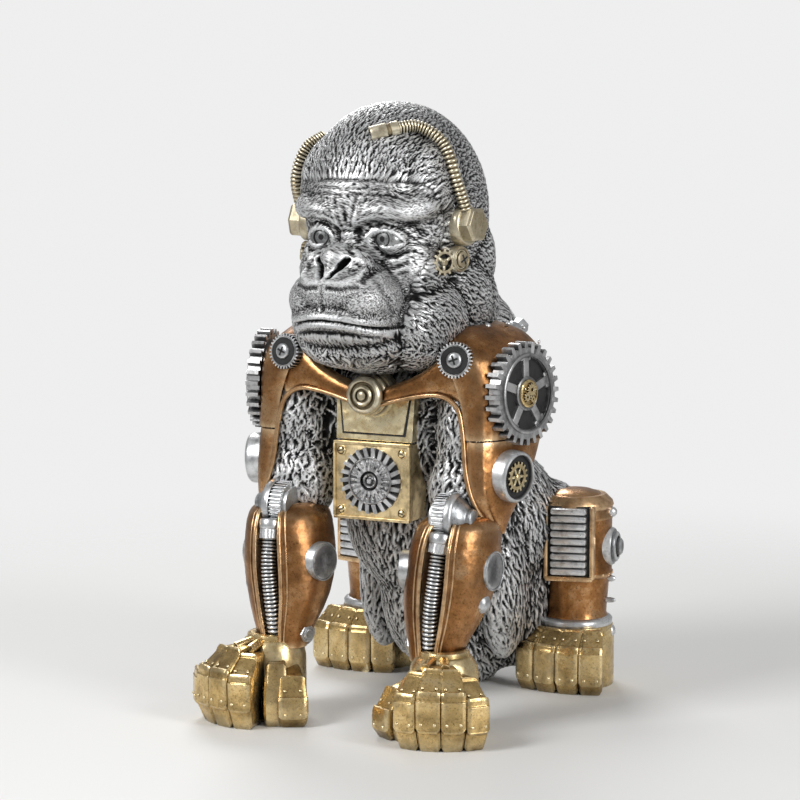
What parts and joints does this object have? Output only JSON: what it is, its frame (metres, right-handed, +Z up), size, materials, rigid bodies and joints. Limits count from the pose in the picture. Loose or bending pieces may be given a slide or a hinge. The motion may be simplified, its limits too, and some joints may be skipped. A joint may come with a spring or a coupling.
{
  "type": "gorilla figurine",
  "caption": "Seated gorilla ornament in clockwork armour, with shoulder caps, gears, ribbed hoses and plated fists, cast in one piece in metallic-painted resin to stand on a table",
  "frame": {"origin": "on the table top, at the middle of the bounding box's base", "axes": "+Z up, the gorilla looks along -Y, and its left side is at +X"},
  "size_m": [0.1774, 0.21, 0.3212],
  "materials": {
    "antique_silver": "resin painted antique silver, satin, dark in the grooves",
    "aged_copper": "resin painted aged copper, satin",
    "aged_gold": "resin painted aged gold, satin",
    "black_recess": "resin painted matt black"
  },
  "bodies": {
    "root": {"gorilla_figurine": "antique_silver"}
  },
  "joints": []
}
